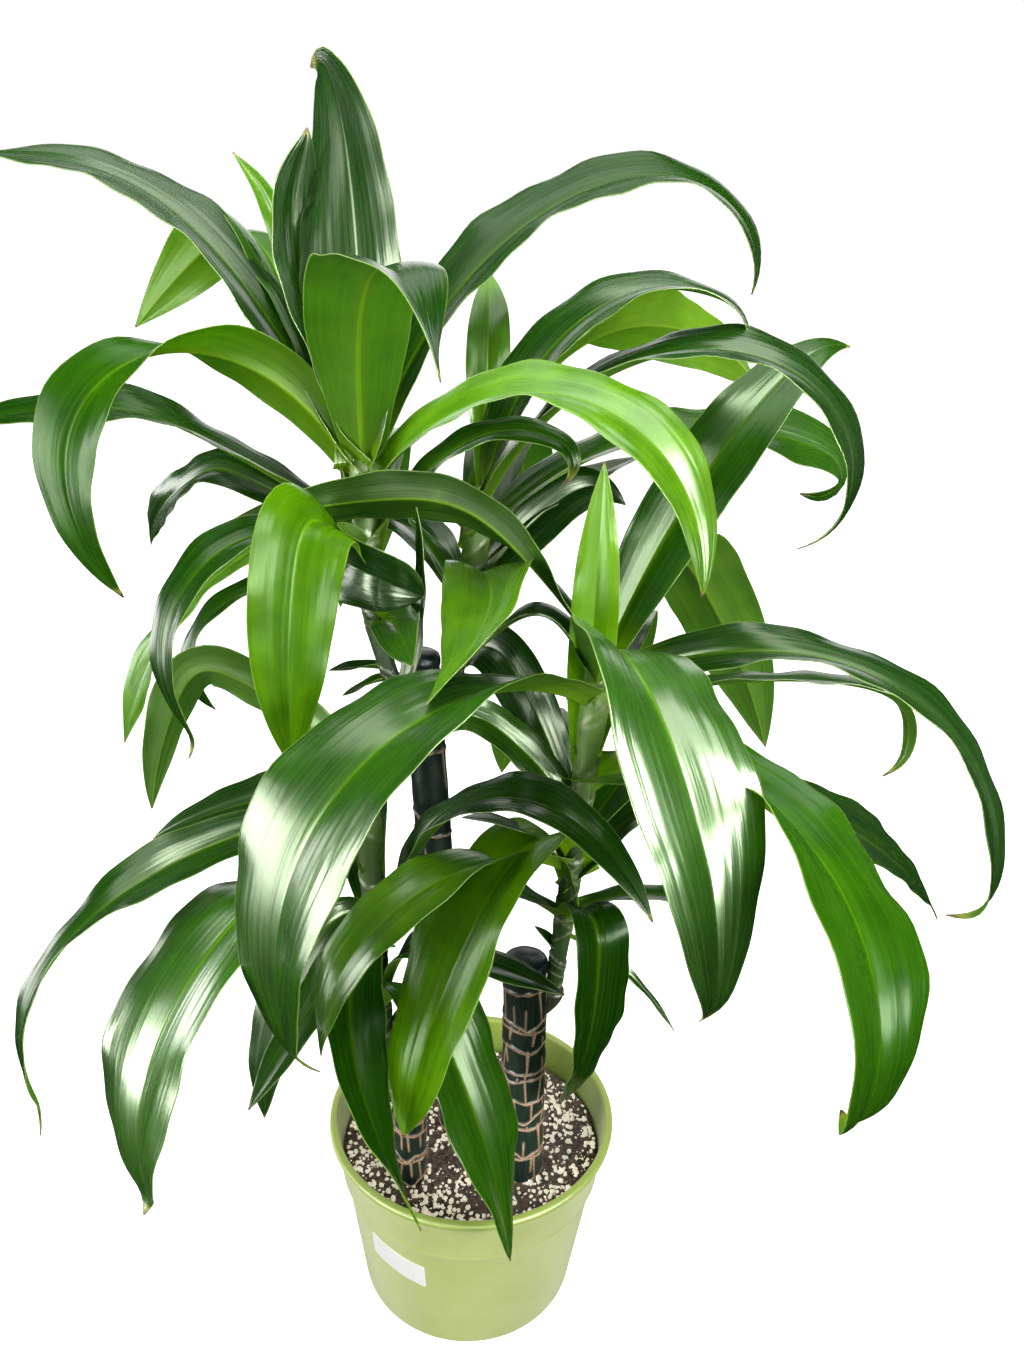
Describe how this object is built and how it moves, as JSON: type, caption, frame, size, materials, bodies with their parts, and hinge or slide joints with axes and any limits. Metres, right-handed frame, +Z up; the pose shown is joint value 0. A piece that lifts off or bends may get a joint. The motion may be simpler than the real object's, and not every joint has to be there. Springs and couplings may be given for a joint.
{
  "type": "potted corn plant",
  "caption": "Tall indoor plant with arching strap leaves on wax-capped canes of staggered height, in a tapered plastic pot filled with potting mix.",
  "frame": {"origin": "centre of the pot's base, at the height of its underside", "axes": "+Z up along the pot's axis, -Y towards the viewer of the picture, +X to the viewer's right"},
  "size_m": [0.8317, 0.6519, 1.0045],
  "materials": {
    "pot": "satin olive-green injection-moulded plastic",
    "soil": "matt dark brown peat-based potting mix with cream perlite grains",
    "cane": "dark green-grey bark, satin, ringed with tan leaf scars",
    "wax": "dark blue-black sealing wax, glossy",
    "leaf": "glossy green living leaf with a paler midrib",
    "label": "blank white satin sticker"
  },
  "bodies": {
    "root": {"pot": "pot", "soil": "soil", "cane_short": "cane", "wax_cap_short": "wax", "cane_medium": "cane", "wax_cap_medium": "wax", "cane_tall": "cane", "wax_cap_tall": "wax", "shoot_1": "leaf", "shoot_2": "leaf", "shoot_3": "leaf", "shoot_4": "leaf", "label": "label"}
  },
  "joints": []
}
